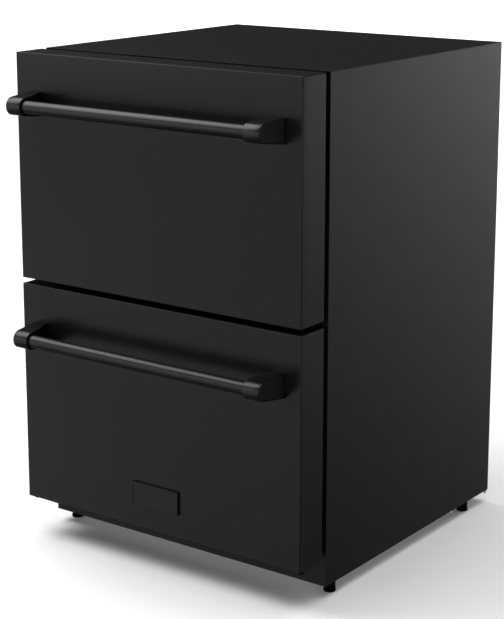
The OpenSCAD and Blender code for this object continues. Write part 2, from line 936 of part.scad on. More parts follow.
// Bin whose rim rests on the frame's arms; the part behind step_back is shallower
module bin(rail_z, floor_z, step_back, rear_floor_z) {
    rim_z = rail_z + arm_h / 2;
    top = rim_z + bin_rim_h;
    inner_r = bin_corner_r - bin_t;
    color([0.88, 0.9, 0.92])
        difference() {
            union() {
                bin_block(bin_half_w, bin_front_y, step_back, floor_z, top, bin_corner_r);
                bin_block(bin_half_w, bin_front_y, bin_back_y, rear_floor_z, top, bin_corner_r);
                box([-arm_half_w, bin_front_y + bin_corner_r, rim_z],
                    [arm_half_w, bin_back_y - bin_corner_r, top]);
            }
            bin_block(bin_half_w - bin_t, bin_front_y + bin_t, step_back - bin_t,
                      floor_z + bin_t, top + cut, inner_r);
            bin_block(bin_half_w - bin_t, bin_front_y + bin_t, bin_back_y - bin_t,
                      rear_floor_z + bin_t, top + cut, inner_r);
        }
}

// Whole outline of a drawer front, with its round corners, from y0 to y1
module front_slab(y0, y1, z) {
    along_y(y0, y1)
        translate([0, z + front_h / 2])
            round_rect(cabinet_w, front_h, front_corner_r);
}

// Block of a drawer front from y0 back to y1, with its front edges rounded by r as well
module front_block(y0, y1, z, r) {
    intersection() {
        front_slab(y0, y1, z);
        translate([0, 0, z])
            linear_extrude(front_h)
                union() {
                    translate([-half_w, y0 + r])
                        square([cabinet_w, y1 - y0 - r]);
                    translate([-half_w + r, y0])
                        square([cabinet_w - 2 * r, r + cut]);
                    for (s = [-1, 1])
                        translate([s * (half_w - r), y0 + r])
                            circle(r = r);
                }
        along_x(-half_w, half_w)
            union() {
                translate([y0 + r, z])
                    square([y1 - y0 - r, front_h]);
                translate([y0, z + r])
                    square([r + cut, front_h - 2 * r]);
                for (edge_z = [z + r, z + front_h - r])
                    translate([y0 + r, edge_z])
                        circle(r = r);
            }
    }
}

// The four screws of a handle, grown by g, for a front with its lower edge at z
module screw_shapes(z, g) {
    for (sx = [-1, 1], sz = [-1, 1]) {
        screw_z = z + front_h - handle_drop + screw_shift + sz * screw_spread;
        rod_y(screw_r + g, front_face_y - screw_l - g, front_face_y + panel_t + screw_head_h,
              sx * bracket_foot_x, screw_z);
        rod_y(screw_head_r + g, front_face_y + panel_t, front_face_y + panel_t + screw_head_h + g,
              sx * bracket_foot_x, screw_z);
    }
}

module handle_screws(z) {
    color([0.7, 0.7, 0.7])
        screw_shapes(z, 0);
}

// Folded steel panel on the face of a drawer front
module front_panel(z) {
    color([0.19, 0.19, 0.2])
        difference() {
            front_block(front_face_y, front_face_y + panel_fold, z, panel_edge_r);
            box([-half_w + panel_t, front_face_y + panel_t, z + panel_t],
                [half_w - panel_t, front_face_y + panel_fold + cut, z + front_h - panel_t]);
            screw_shapes(z, fit);
        }
}

// Hollow of the inner casing and of its raised back
module casing_hollow(z, plug_low, plug_high) {
    box([-half_w + casing_t, front_face_y + panel_fold, z + casing_t],
        [half_w - casing_t, front_back_y - casing_t, z + front_h - casing_t]);
    box([-plug_half_w + casing_t, front_back_y - casing_t, plug_low + casing_t],
        [plug_half_w - casing_t, plug_back_y - casing_t, plug_high - casing_t]);
}

// Inner casing of a drawer front, with the raised back that reaches into the cold space
module front_casing(z, plug_low, plug_high) {
    color([0.2, 0.2, 0.21])
        difference() {
            union() {
                front_slab(front_face_y + panel_fold, front_back_y, z);
                box([-plug_half_w, front_back_y, plug_low], [plug_half_w, plug_back_y, plug_high]);
            }
            casing_hollow(z, plug_low, plug_high);
            box([-half_w + casing_t, front_face_y + panel_fold - cut, z + casing_t],
                [half_w - casing_t, front_face_y + panel_fold + cut, z + front_h - casing_t]);
        }
}

module front_foam(z, plug_low, plug_high) {
    color([0.93, 0.86, 0.66])
        difference() {
            union() {
                casing_hollow(z, plug_low, plug_high);
                box([-half_w + casing_t, front_face_y + panel_t, z + casing_t],
                    [half_w - casing_t, front_face_y + panel_fold, z + front_h - casing_t]);
            }
            screw_shapes(z, fit);
        }
}

// Flat ring behind a drawer front, w wide
module seal_ring(z, inset, w, y0, y1) {
    ring_w = cabinet_w - 2 * inset;
    ring_h = front_h - 2 * inset;
    along_y(y0, y1)
        translate([0, z + front_h / 2])
            difference() {
                square([ring_w, ring_h], center = true);
                square([ring_w - 2 * w, ring_h - 2 * w], center = true);
            }
}

// Magnetic seal: a base, a narrower bellows and the magnet strip
module gasket(z) {
    base_t = 2.5;
    magnet_t = 4;
    waist = 3;
    seal_y = case_y - slack;
    color([0.03, 0.03, 0.03])
        union() {
            seal_ring(z, gasket_inset, gasket_w, front_back_y, front_back_y + base_t);
            seal_ring(z, gasket_inset + waist, gasket_w - 2 * waist, front_back_y, seal_y);
            seal_ring(z, gasket_inset, gasket_w, seal_y - magnet_t, seal_y);
        }
}

module handle_bar(z) {
    bar_half_l = handle_half_l - collar_l + socket_l;
    color([0.24, 0.24, 0.25])
        rod_x(bar_dia / 2, -bar_half_l, bar_half_l, bar_y, z + front_h - handle_drop);
}

// Outer shape of a right-hand bracket: a round end and a neck that flares to the panel.
// Its end face is one plane, which leans outwards from the nose to the panel.
module bracket_body(inner_x, bar_z) {
    neck_r = collar_r - neck_inset;
    nose_y = bar_y - collar_r;
    foot_in_x = bracket_foot_x - bracket_foot_half;
    foot_out_x = bracket_foot_x + bracket_foot_half;
    intersection() {
        union() {
            rod_x(collar_r, inner_x, foot_out_x, bar_y, bar_z);
            along_x(inner_x, half_w)
                polygon([[bar_y, bar_z - neck_r], [bar_y, bar_z + neck_r],
                         [front_face_y, bar_z + bracket_rise], [front_face_y, bar_z - bracket_fall]]);
        }
        translate([0, 0, bar_z - bracket_fall - collar_r])
            linear_extrude(bracket_fall + bracket_rise + 2 * collar_r)
                polygon([[inner_x - cut, nose_y], [handle_half_l, nose_y], [foot_out_x, front_face_y],
                         [foot_in_x, front_face_y], [inner_x, bar_y + collar_r],
                         [inner_x - cut, bar_y + collar_r]]);
    }
}

// Cast bracket on side s: a round end around the bar and a foot on the front panel
module handle_bracket(s, z) {
    bar_z = z + front_h - handle_drop;
    inner_x = handle_half_l - collar_l;
    color([0.22, 0.22, 0.23])
        mirror([s < 0 ? 1 : 0, 0, 0])
            difference() {
                bracket_body(inner_x, bar_z);
                rod_x(bar_dia / 2 + fit, inner_x - cut, inner_x + socket_l + fit, bar_y, bar_z);
                screw_shapes(z, fit);
            }
}

// Bare badge plate with a thin raised rim
module badge_plate() {
    recess_half_w = badge_w / 2 - badge_rim;
    recess_h = badge_h - 2 * badge_rim;
    color([0.28, 0.28, 0.29])
        translate([0, front_face_y - badge_t, lower_front_z + badge_rise])
            difference() {
                box([-badge_w / 2, 0, 0], [badge_w / 2, badge_t, badge_h]);
                box([-recess_half_w, -cut, badge_rim],
                    [recess_half_w, badge_recess, badge_rim + recess_h]);
            }
}

// Heights of the raised backs of the two fronts
lower_plug_low_z = bay_floor_z + plug_gap;
lower_plug_high_z = mullion_low_z - plug_gap;
upper_plug_low_z = mullion_top_z + plug_gap;
upper_plug_high_z = control_z - plug_gap;

side_panel(-1);  // left_side_panel
side_panel(1);  // right_side_panel
top_panel();
back_panel();
base_pan();
kick_plate();
front_frame();
mullion();
inner_liner();
cabinet_foam();
compressor();
compressor_grommets();
condenser();
condenser_fan_shroud();
condenser_fan();
evaporator();
evaporator_cover();
evaporator_fan_motor();
evaporator_fan();
drip_tray();
machine_cover();
controller_box();
cord_gland();
control_panel();
display_window();
push_button(0);  // colder_button
push_button(1);  // warmer_button
push_button(2);  // light_button
light_strip();
foot(-foot_x, front_foot_y);  // front_left_foot
foot(foot_x, front_foot_y);  // front_right_foot
foot(-foot_x, rear_foot_y);  // rear_left_foot
foot(foot_x, rear_foot_y);  // rear_right_foot
cabinet_rails(upper_rail_z);  // upper_cabinet_rails
middle_rails(upper_rail_z);  // upper_middle_rails
drawer_rails(upper_rail_z);  // upper_drawer_rails
cabinet_rails(lower_rail_z);  // lower_cabinet_rails
middle_rails(lower_rail_z);  // lower_middle_rails
drawer_rails(lower_rail_z);  // lower_drawer_rails
front_panel(upper_front_z);  // upper_front_panel
front_casing(upper_front_z, upper_plug_low_z, upper_plug_high_z);  // upper_front_casing
front_foam(upper_front_z, upper_plug_low_z, upper_plug_high_z);  // upper_front_foam
gasket(upper_front_z);  // upper_gasket
handle_bar(upper_front_z);  // upper_handle_bar
handle_bracket(-1, upper_front_z);  // upper_left_bracket
handle_bracket(1, upper_front_z);  // upper_right_bracket
handle_screws(upper_front_z);  // upper_handle_screws
drawer_frame(upper_rail_z);  // upper_drawer_frame
bin(upper_rail_z, mullion_top_z + bin_floor_gap, bin_back_y, mullion_top_z + bin_floor_gap);  // upper_bin
front_panel(lower_front_z);  // lower_front_panel
front_casing(lower_front_z, lower_plug_low_z, lower_plug_high_z);  // lower_front_casing
front_foam(lower_front_z, lower_plug_low_z, lower_plug_high_z);  // lower_front_foam
gasket(lower_front_z);  // lower_gasket
handle_bar(lower_front_z);  // lower_handle_bar
handle_bracket(-1, lower_front_z);  // lower_left_bracket
handle_bracket(1, lower_front_z);  // lower_right_bracket
handle_screws(lower_front_z);  // lower_handle_screws
drawer_frame(lower_rail_z);  // lower_drawer_frame
bin(lower_rail_z, bay_floor_z + bin_floor_gap, bin_step_y, step_z + bin_floor_gap);  // lower_bin
badge_plate();
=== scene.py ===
import json
import math

import bmesh
import bpy
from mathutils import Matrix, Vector


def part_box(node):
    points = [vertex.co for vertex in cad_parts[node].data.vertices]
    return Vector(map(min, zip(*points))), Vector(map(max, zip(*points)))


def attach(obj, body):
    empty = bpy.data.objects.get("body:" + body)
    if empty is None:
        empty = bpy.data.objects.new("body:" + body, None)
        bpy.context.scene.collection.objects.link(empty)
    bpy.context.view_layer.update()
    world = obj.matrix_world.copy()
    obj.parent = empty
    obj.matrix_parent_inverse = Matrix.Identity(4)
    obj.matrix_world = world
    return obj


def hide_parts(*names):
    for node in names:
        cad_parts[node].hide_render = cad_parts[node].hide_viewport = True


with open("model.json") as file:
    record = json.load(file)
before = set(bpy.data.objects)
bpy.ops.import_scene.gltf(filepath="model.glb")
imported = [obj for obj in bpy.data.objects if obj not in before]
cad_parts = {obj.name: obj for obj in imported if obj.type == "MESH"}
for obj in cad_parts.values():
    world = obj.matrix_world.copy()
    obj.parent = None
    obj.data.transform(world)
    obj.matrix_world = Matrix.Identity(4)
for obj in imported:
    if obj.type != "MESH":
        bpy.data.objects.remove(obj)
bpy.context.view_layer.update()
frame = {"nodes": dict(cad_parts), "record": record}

MM = 0.001
NODES = frame["nodes"]
SLOT_OF = {row["node"]: row["material_slot"] for row in frame["record"]["subparts"]}
BODY_OF = {
    node: body for body, nodes in frame["record"]["behaviour"]["bodies"].items() for node in nodes}

# Camera at the photograph's viewing angle: its place in metres, its angles in degrees, its focal
# length and shift in pixels of a picture as high as the photograph, and the sensor's longer side
# in millimetres
PHOTO_H = 619
CAMERA_AT = (1.7355, -2.3774, 1.1851)
CAMERA_AZIMUTH = 36.2
CAMERA_PITCH = 12.46
CAMERA_FOCAL_PX = 1690
CAMERA_SHIFT_PX = 70
CAMERA_SENSOR = 36
CAMERA_NEAR, CAMERA_FAR = 0.05, 200

# Floor and backdrop, in metres: half the floor's side, the backdrop's radius and height, and the
# distances between which the floor's own light rises to its full strength, so that the two meet
# unseen
FLOOR_HALF = 30
BACKDROP_R = 9.0
BACKDROP_H = 14
BACKDROP_STEPS = 96
FLOOR_LIGHT_FROM, FLOOR_LIGHT_TO = 2.4, 7.2
FLOOR_LIGHT = 0.6

# Edges: the CAD's nodes are welded within a gap, cleared of lines on flat faces (within degrees),
# and rounded where they turn by more than an angle; the scene's own pieces are shaded sharp there
WELD_GAP = 0.01 * MM
FLAT_WITHIN = 0.5
EDGE_ANGLE = 35
EDGE_SEGMENTS = 2


def camera():
    data = bpy.data.cameras.new("camera")
    data.sensor_width = CAMERA_SENSOR
    data.lens = CAMERA_FOCAL_PX * data.sensor_width / PHOTO_H
    data.shift_y = -CAMERA_SHIFT_PX / PHOTO_H
    data.clip_start, data.clip_end = CAMERA_NEAR, CAMERA_FAR
    obj = bpy.data.objects.new("camera", data)
    obj.location = CAMERA_AT
    obj.rotation_euler = (math.radians(90 - CAMERA_PITCH), 0, math.radians(CAMERA_AZIMUTH))
    bpy.context.scene.collection.objects.link(obj)
    bpy.context.scene.camera = obj


class Shader:
    """A new material with its Principled shader, and short calls for its nodes and links."""

    def __init__(
            self, name, roughness=0.5, metallic=0.0, specular=0.5, coat=0.0, coat_roughness=0.1):
        self.material = bpy.data.materials.new(name)
        self.material.use_nodes = True
        self.tree = self.material.node_tree
        self.bsdf = self.tree.nodes["Principled BSDF"]
        self.set("Roughness", roughness)
        self.set("Metallic", metallic)
        self.set("Specular IOR Level", specular)
        self.set("Coat Weight", coat)
        self.set("Coat Roughness", coat_roughness)
        self.coords = self.tree.nodes.new("ShaderNodeTexCoord").outputs["Object"]

    def set(self, socket, value):
        self.bsdf.inputs[socket].default_value = value

    def link(self, source, target):
        self.tree.links.new(source, target)

    def stretched(self, scale):
        """Object coordinates with their axes scaled, for grain that runs one way."""
        node = self.tree.nodes.new("ShaderNodeMapping")
        node.inputs["Scale"].default_value = scale
        self.link(self.coords, node.inputs["Vector"])
        return node.outputs["Vector"]

    def noise(self, scale, detail=3.0, vector=None):
        node = self.tree.nodes.new("ShaderNodeTexNoise")
        node.inputs["Scale"].default_value = scale
        node.inputs["Detail"].default_value = detail
        self.link(vector or self.coords, node.inputs["Vector"])
        return node.outputs["Fac"]

    def cells(self, scale):
        node = self.tree.nodes.new("ShaderNodeTexVoronoi")
        node.inputs["Scale"].default_value = scale
        self.link(self.coords, node.inputs["Vector"])
        return node.outputs["Distance"]

    def spread(self, value, low, high, from_low=0.3, from_high=0.7):
        """value brought from from_low..from_high, by default a noise's range, to low..high."""
        node = self.tree.nodes.new("ShaderNodeMapRange")
        node.inputs["From Min"].default_value = from_low
        node.inputs["From Max"].default_value = from_high
        node.inputs["To Min"].default_value = low
        node.inputs["To Max"].default_value = high
        self.link(value, node.inputs["Value"])
        return node.outputs["Result"]

    def blend(self, factor, dark, light):
        node = self.tree.nodes.new("ShaderNodeMix")
        node.data_type = "RGBA"
        node.inputs["A"].default_value = (*dark, 1)
        node.inputs["B"].default_value = (*light, 1)
        self.link(factor, node.inputs["Factor"])
        return node.outputs["Result"]

    def maths(self, operation, a, b):
        node = self.tree.nodes.new("ShaderNodeMath")
        node.operation = operation
        for value, socket in zip((a, b), node.inputs):
            if isinstance(value, (int, float)):
                socket.default_value = value
            else:
                self.link(value, socket)
        return node.outputs["Value"]

    def plus(self, a, b):
        return self.maths("ADD", a, b)

    def facing(self, axis):
        """How squarely the surface faces along one of the object's axes, either way: 0 to 1."""
        split = self.tree.nodes.new("ShaderNodeSeparateXYZ")
        self.link(self.coords.node.outputs["Normal"], split.inputs["Vector"])
        return self.maths("ABSOLUTE", split.outputs[axis], 0)

    def colour(self, factor, dark, light):
        self.link(self.blend(factor, dark, light), self.bsdf.inputs["Base Color"])

    def clouded(self, scale, detail, dark, light):
        """Colour that drifts between two tones."""
        self.colour(self.spread(self.noise(scale, detail), 0, 1), dark, light)

    def rough(self, factor, low, high):
        self.link(self.spread(factor, low, high), self.bsdf.inputs["Roughness"])

    def bump(self, height, depth, strength=1.0, after=None):
        """Bump whose full height is depth metres; after is an earlier bump that it builds on."""
        node = self.tree.nodes.new("ShaderNodeBump")
        node.inputs["Strength"].default_value = strength
        node.inputs["Distance"].default_value = depth
        self.link(height, node.inputs["Height"])
        if after:
            self.link(after, node.inputs["Normal"])
        self.link(node.outputs["Normal"], self.bsdf.inputs["Normal"])
        return node.outputs["Normal"]


def grey(value):
    return (value, value, value)


def orange_peel(s, strength):
    """Relief of the black coat: a fine peel with a finer grain on it."""
    peel = s.bump(s.noise(620, detail=2), 0.00005, strength=strength)
    s.bump(s.noise(3200, detail=1), 0.00001, strength=0.5, after=peel)


def powder_coat(name, dark, light, rough_low, rough_high, specular):
    """Matte black coat: fine orange peel, a faint cloudiness and slightly uneven gloss."""
    s = Shader(name, specular=specular)
    s.clouded(5, 4, dark, light)
    s.rough(s.noise(28, detail=5), rough_low, rough_high)
    orange_peel(s, 0.5)
    return s.material


def front_coat(name):
    """The same coat, smoother where it faces forward than on the folded edges."""
    s = Shader(name, specular=0.19)
    s.clouded(5, 4, grey(0.0024), grey(0.0028))
    uneven = s.spread(s.noise(28, detail=5), 0, 0.025)
    edge_to_face = s.spread(s.facing("Y"), 0.5, 0.27, from_low=0.93, from_high=0.998)
    s.link(s.plus(edge_to_face, uneven), s.bsdf.inputs["Roughness"])
    orange_peel(s, 0.35)
    return s.material


def satin_metal(name):
    """Dark handle coat with a soft sheen, a trace of polish along the bar and duller cast ends."""
    s = Shader(name, specular=0.26)
    s.clouded(9, 4, grey(0.0020), grey(0.0028))
    grain = s.noise(900, detail=2, vector=s.stretched((0.05, 1, 1)))
    cast_end = s.spread(s.facing("X"), 0, 0.1, from_low=0.8, from_high=0.97)
    s.link(s.plus(s.spread(grain, 0.27, 0.32), cast_end), s.bsdf.inputs["Roughness"])
    peel = s.bump(s.noise(800, detail=2), 0.00003, strength=0.35)
    s.bump(grain, 0.00001, strength=0.25, after=peel)
    return s.material


def zinc_steel(name):
    """Zinc-plated sheet: pale metal with faint spangles and a rolling grain."""
    s = Shader(name, metallic=1.0)
    spangles = s.spread(s.cells(420), 0, 1, from_low=0.0, from_high=0.9)
    s.colour(spangles, (0.55, 0.56, 0.58), (0.62, 0.63, 0.65))
    s.rough(s.noise(260, detail=4, vector=s.stretched((1, 0.08, 1))), 0.3, 0.38)
    s.bump(s.noise(1500, detail=2, vector=s.stretched((1, 0.05, 1))), 0.00001, strength=0.4)
    return s.material


def moulded(name, dark, light, roughness, specular=0.45):
    """Injection-moulded plastic with a fine spark-eroded texture."""
    s = Shader(name, specular=specular)
    s.clouded(12, 4, dark, light)
    s.rough(s.noise(60, detail=4), roughness - 0.05, roughness + 0.06)
    s.bump(s.noise(900, detail=3), 0.00003, strength=0.5)
    return s.material


def white_liner(name):
    """Vacuum-formed liner: glossy white with a slow waviness from the mould."""
    s = Shader(name, specular=0.5)
    s.set("Subsurface Weight", 0.08)
    s.set("Subsurface Radius", (0.004, 0.004, 0.005))
    s.clouded(4, 3, (0.78, 0.79, 0.8), (0.84, 0.85, 0.86))
    s.rough(s.noise(45, detail=3), 0.34, 0.38)
    wave = s.bump(s.noise(9, detail=0), 0.0002, strength=0.12)
    s.bump(s.noise(1100, detail=2), 0.00002, strength=0.3, after=wave)
    return s.material


def frosted_bin(name):
    """Pale frosted plastic of the bins."""
    s = Shader(name, specular=0.5)
    s.set("Subsurface Weight", 0.25)
    s.set("Subsurface Radius", (0.01, 0.012, 0.014))
    s.clouded(6, 3, (0.72, 0.77, 0.81), (0.8, 0.84, 0.88))
    s.rough(s.noise(50, detail=3), 0.3, 0.4)
    s.bump(s.noise(700, detail=2), 0.00004, strength=0.4)
    return s.material


def cut_foam(name):
    """Rigid foam: cream colour with small closed cells."""
    s = Shader(name, specular=0.2, roughness=0.85)
    s.colour(s.cells(700), (0.62, 0.5, 0.3), (0.8, 0.7, 0.46))
    s.bump(s.cells(700), 0.0004, strength=0.8)
    return s.material


def soft_rubber(name):
    """Black rubber with a dull bloom."""
    s = Shader(name, specular=0.12)
    s.clouded(40, 5, grey(0.0016), grey(0.0028))
    s.rough(s.noise(90, detail=4), 0.65, 0.8)
    s.bump(s.noise(1400, detail=3), 0.00003, strength=0.5)
    return s.material


def shade_dark_rubber(name):
    """Black rubber of the feet and plugs, darkened past its own black into painted shade as under
    the cabinet, with hardly any gloss.
    """
    s = Shader(name, specular=0.04)
    s.clouded(60, 4, grey(0.0005), grey(0.0010))
    s.rough(s.noise(120, detail=4), 0.7, 0.85)
    s.bump(s.noise(1600, detail=3), 0.00004, strength=0.6)
    return s.material


def thick_paint(name):
    """Dipped black paint of the compressor and the condenser, with an uneven flow."""
    s = Shader(name, specular=0.5, coat=0.2)
    s.clouded(30, 4, grey(0.008), grey(0.014))
    s.rough(s.noise(70, detail=3), 0.25, 0.4)
    s.bump(s.noise(260, detail=2), 0.0001, strength=0.4)
    return s.material


def bare_aluminium(name):
    """Rolled aluminium of the evaporator."""
    s = Shader(name, metallic=1.0)
    s.clouded(80, 4, (0.7, 0.71, 0.72), (0.82, 0.83, 0.84))
    s.rough(s.noise(500, detail=3, vector=s.stretched((1, 1, 0.1))), 0.25, 0.4)
    s.bump(s.noise(1800, detail=2), 0.00001, strength=0.4)
    return s.material


def dark_glass(name):
    """Tinted window in front of the display."""
    s = Shader(name, specular=0.6, coat=0.5, coat_roughness=0.03)
    s.clouded(30, 2, (0.004, 0.005, 0.008), (0.007, 0.008, 0.011))
    s.rough(s.noise(200, detail=3), 0.05, 0.09)
    s.bump(s.noise(900, detail=2), 0.000004, strength=0.3)
    return s.material


def light_lens(name):
    """Lit, ribbed lens of the lamp."""
    s = Shader(name, specular=0.5)
    s.set("Subsurface Weight", 0.3)
    s.set("Emission Color", (1.0, 0.97, 0.9, 1))
    s.set("Emission Strength", 0.6)
    s.clouded(20, 3, (0.86, 0.87, 0.88), (0.93, 0.94, 0.95))
    s.rough(s.noise(60, detail=3), 0.35, 0.45)
    s.bump(s.noise(900, detail=2, vector=s.stretched((0.1, 1, 1))), 0.00005, strength=0.5)
    return s.material


def glow(name):
    """Lit segments of the display."""
    s = Shader(name, specular=0.3)
    s.set("Emission Color", (0.55, 0.85, 1.0, 1))
    s.set("Emission Strength", 1.6)
    s.clouded(40, 2, (0.5, 0.7, 0.8), (0.6, 0.8, 0.9))
    s.rough(s.noise(200, detail=2), 0.4, 0.5)
    return s.material


def print_ink(name):
    """White print on the control panel."""
    s = Shader(name, specular=0.3)
    s.clouded(900, 3, grey(0.55), grey(0.7))
    s.rough(s.noise(500, detail=3), 0.5, 0.65)
    s.bump(s.noise(2500, detail=2), 0.00001, strength=0.4)
    return s.material


def floor_paint(name):
    """Pale floor, with light of its own towards the backdrop."""
    s = Shader(name, specular=0.2)
    s.clouded(1.5, 4, grey(0.88), grey(0.91))
    s.rough(s.noise(8, detail=4), 0.75, 0.9)
    s.bump(s.noise(300, detail=3), 0.0001, strength=0.2)
    away = s.tree.nodes.new("ShaderNodeVectorMath")
    away.operation = "LENGTH"
    s.link(s.coords, away.inputs[0])
    s.set("Emission Color", (1, 1, 1, 1))
    own_light = s.spread(
        away.outputs["Value"], 0, FLOOR_LIGHT, from_low=FLOOR_LIGHT_FROM, from_high=FLOOR_LIGHT_TO)
    s.link(own_light, s.bsdf.inputs["Emission Strength"])
    return s.material


def backdrop_white(name):
    """Even white of the backdrop."""
    s = Shader(name, specular=0, roughness=0.9)
    s.set("Emission Color", (1, 1, 1, 1))
    s.set("Emission Strength", 1.0)
    s.rough(s.noise(2), 0.85, 0.95)
    return s.material


MATERIALS = {
    "black_coat": powder_coat("black_coat", grey(0.0024), grey(0.0030), 0.43, 0.47, 0.17),
    "front_coat": front_coat("front_coat"),
    # Painted shade: the black coat made darker and duller, for the frame and mullion deep in the
    # gaps round the drawers
    "painted_shade_coat": powder_coat("painted_shade_coat", grey(0.0014), grey(0.0020), 0.68, 0.74, 0.06),
    "display_glow": glow("display_glow"),
    "print_white": print_ink("print_white"),
    "black_handle": satin_metal("black_handle"),
    "zinc_steel": zinc_steel("zinc_steel"),
    "white_liner": white_liner("white_liner"),
    "cream_foam": cut_foam("cream_foam"),
    "compressor_paint": thick_paint("compressor_paint"),
    "black_rubber": soft_rubber("black_rubber"),
    # Rubber darkened into painted shade: for the feet, the plugs and the top's front edge
    "rubber_and_painted_shade": shade_dark_rubber("rubber_and_painted_shade"),
    "bare_aluminium": bare_aluminium("bare_aluminium"),
    "black_plastic": moulded("black_plastic", grey(0.003), grey(0.0045), 0.5, specular=0.28),
    "white_plastic": moulded("white_plastic", (0.74, 0.74, 0.72), (0.8, 0.8, 0.78), 0.42),
    "dark_glass": dark_glass("dark_glass"),
    "grey_plastic": moulded("grey_plastic", (0.3, 0.31, 0.32), (0.36, 0.37, 0.38), 0.38),
    "light_lens": light_lens("light_lens"),
    "clear_bin": frosted_bin("clear_bin"),
}


def soften(obj, width):
    """Rounds the edges of a CAD node by modifiers: its own vertices stay as they are."""
    mesh = obj.data
    if "custom_normal" in mesh.attributes:
        mesh.attributes.remove(mesh.attributes["custom_normal"])
    mesh.shade_smooth()
    weld = obj.modifiers.new("weld", "WELD")
    weld.merge_threshold = WELD_GAP
    flat = obj.modifiers.new("flat", "DECIMATE")
    flat.decimate_type = "DISSOLVE"
    flat.angle_limit = math.radians(FLAT_WITHIN)
    bevel = obj.modifiers.new("bevel", "BEVEL")
    bevel.width = width
    bevel.segments = EDGE_SEGMENTS
    bevel.limit_method = "ANGLE"
    bevel.angle_limit = math.radians(EDGE_ANGLE)
    bevel.harden_normals = True


# Rounded edges by material slot
EDGE_WIDTHS = {
    "black_coat": 0.35 * MM,
    "black_handle": 0.6 * MM,
    "zinc_steel": 0.2 * MM,
    "white_liner": 0.8 * MM,
    "cream_foam": 0.5 * MM,
    "black_plastic": 0.4 * MM,
    "white_plastic": 0.4 * MM,
    "grey_plastic": 0.3 * MM,
    "clear_bin": 0.6 * MM,
    "compressor_paint": 0.3 * MM,
    "dark_glass": 0.2 * MM,
    "light_lens": 0.4 * MM,
    "bare_aluminium": 0.1 * MM,
    "black_rubber": 0.3 * MM,
}

# Nodes whose finish, and nodes whose edges, differ from their slot's
FINISH_OF = {
    "upper_front_panel": "front_coat",
    "lower_front_panel": "front_coat",
    # The frame and mullion take the black coat darkened into painted shade for the gaps
    "front_frame": "painted_shade_coat",
    "mullion": "painted_shade_coat",
}
EDGE_OF = {
    "upper_front_panel": 0.2 * MM,
    "lower_front_panel": 0.2 * MM,
    "upper_front_casing": 1.4 * MM,
    "lower_front_casing": 1.4 * MM,
}


def dress_nodes():
    for name, obj in NODES.items():
        slot = SLOT_OF[name]
        obj.data.materials.clear()
        obj.data.materials.append(MATERIALS[FINISH_OF.get(name, slot)])
        soften(obj, EDGE_OF.get(name, EDGE_WIDTHS[slot]))


def finished(name, bm, material):
    """A new object in the scene from a bmesh, with one material."""
    mesh = bpy.data.meshes.new(name)
    bm.to_mesh(mesh)
    bm.free()
    mesh.materials.append(material)
    obj = bpy.data.objects.new(name, mesh)
    bpy.context.scene.collection.objects.link(obj)
    return obj


def piece(name, bm, body, slot, sharp=EDGE_ANGLE, finish=None):
    """A finished object that rides on a body, takes a material slot and shows a finish."""
    bmesh.ops.recalc_face_normals(bm, faces=bm.faces)
    obj = finished(name, bm, MATERIALS[finish or slot])
    obj.data.shade_smooth()
    obj.data.set_sharp_from_angle(angle=math.radians(sharp))
    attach(obj, body)
    return obj


def skin(bm, rings, closed=False):
    """Faces between neighbouring rings; closed also joins the last ring to the first."""
    following = rings[1:] + rings[:1] if closed else rings[1:]
    for a, b in zip(rings, following):
        for i in range(len(a)):
            j = (i + 1) % len(a)
            bm.faces.new((a[i], a[j], b[j], b[i]))


def solid(bm, rings):
    """Skin over the rings and a face over each end."""
    skin(bm, rings)
    bm.faces.new(rings[0])
    bm.faces.new(rings[-1])


def round_edges(bm, edges, width, segments=3):
    bmesh.ops.bevel(
        bm, geom=edges, offset=width, segments=segments, profile=0.5, affect="EDGES",
        clamp_overlap=False)


# Seal: outline across it as (way in from its outer edge, way from the casing), in shares of its
# width and depth
SEAL_OUTLINE = [
    (0.00, 0.00), (0.00, 0.10), (0.03, 0.16), (0.20, 0.18), (0.24, 0.24), (0.12, 0.32),
    (0.10, 0.40), (0.14, 0.47), (0.26, 0.52), (0.26, 0.56), (0.10, 0.62), (0.03, 0.68),
    (0.02, 0.90), (0.08, 1.00), (0.92, 1.00), (0.98, 0.90), (0.97, 0.68), (0.90, 0.62),
    (0.74, 0.56), (0.74, 0.52), (0.86, 0.47), (0.90, 0.40), (0.88, 0.32), (0.76, 0.24),
    (0.80, 0.18), (0.97, 0.16), (1.00, 0.10), (1.00, 0.00),
]
SEAL_WIDTH = 18 * MM
SEAL_SHARP = 50


def seal(name, node):
    """Bellows seal swept round the back of a drawer front, with mitred corners."""
    low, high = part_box(node)
    depth = high.y - low.y
    middle = (low + high) / 2
    half_w, half_h = (high.x - low.x) / 2, (high.z - low.z) / 2
    bm = bmesh.new()
    rings = []
    for sx, sz in ((-1, -1), (1, -1), (1, 1), (-1, 1)):
        ring = []
        for inward, out in SEAL_OUTLINE:
            x = middle.x + sx * (half_w - inward * SEAL_WIDTH)
            z = middle.z + sz * (half_h - inward * SEAL_WIDTH)
            ring.append(bm.verts.new((x, low.y + out * depth, z)))
        rings.append(ring)
    skin(bm, rings, closed=True)
    obj = piece(name, bm, BODY_OF[node], "black_rubber", sharp=SEAL_SHARP)
    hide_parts(node)


# Handle bracket: the lean of its end face, how far its foot is set in, the rounding of its inner
# and outer edges, the shadow gap round the bar, the line where the end cap meets the collar, the
# rim round the sunken end face, and the steps of its round tip
BRACKET_LEAN = 6 * MM
BRACKET_FOOT_IN = 13 * MM
BRACKET_INNER_ROUND = 0.6 * MM
BRACKET_OUTER_ROUND = 1.5 * MM
BRACKET_GAP = 0.6 * MM
BRACKET_GAP_DEPTH = 2.5 * MM
CAP_THICKNESS = 6.2 * MM
CAP_LINE = 0.4 * MM
END_RIM = 2.7 * MM
END_STEP = 0.35 * MM
ARC_STEPS = 40
BRACKET_SHARP = 40


def tangent_angle(dy, dz, r, side):
    """Angle, about a circle's centre, of the tangent point for a line to the point (dy, dz)."""
    return math.atan2(dz, dy) + side * math.acos(r / math.hypot(dy, dz))


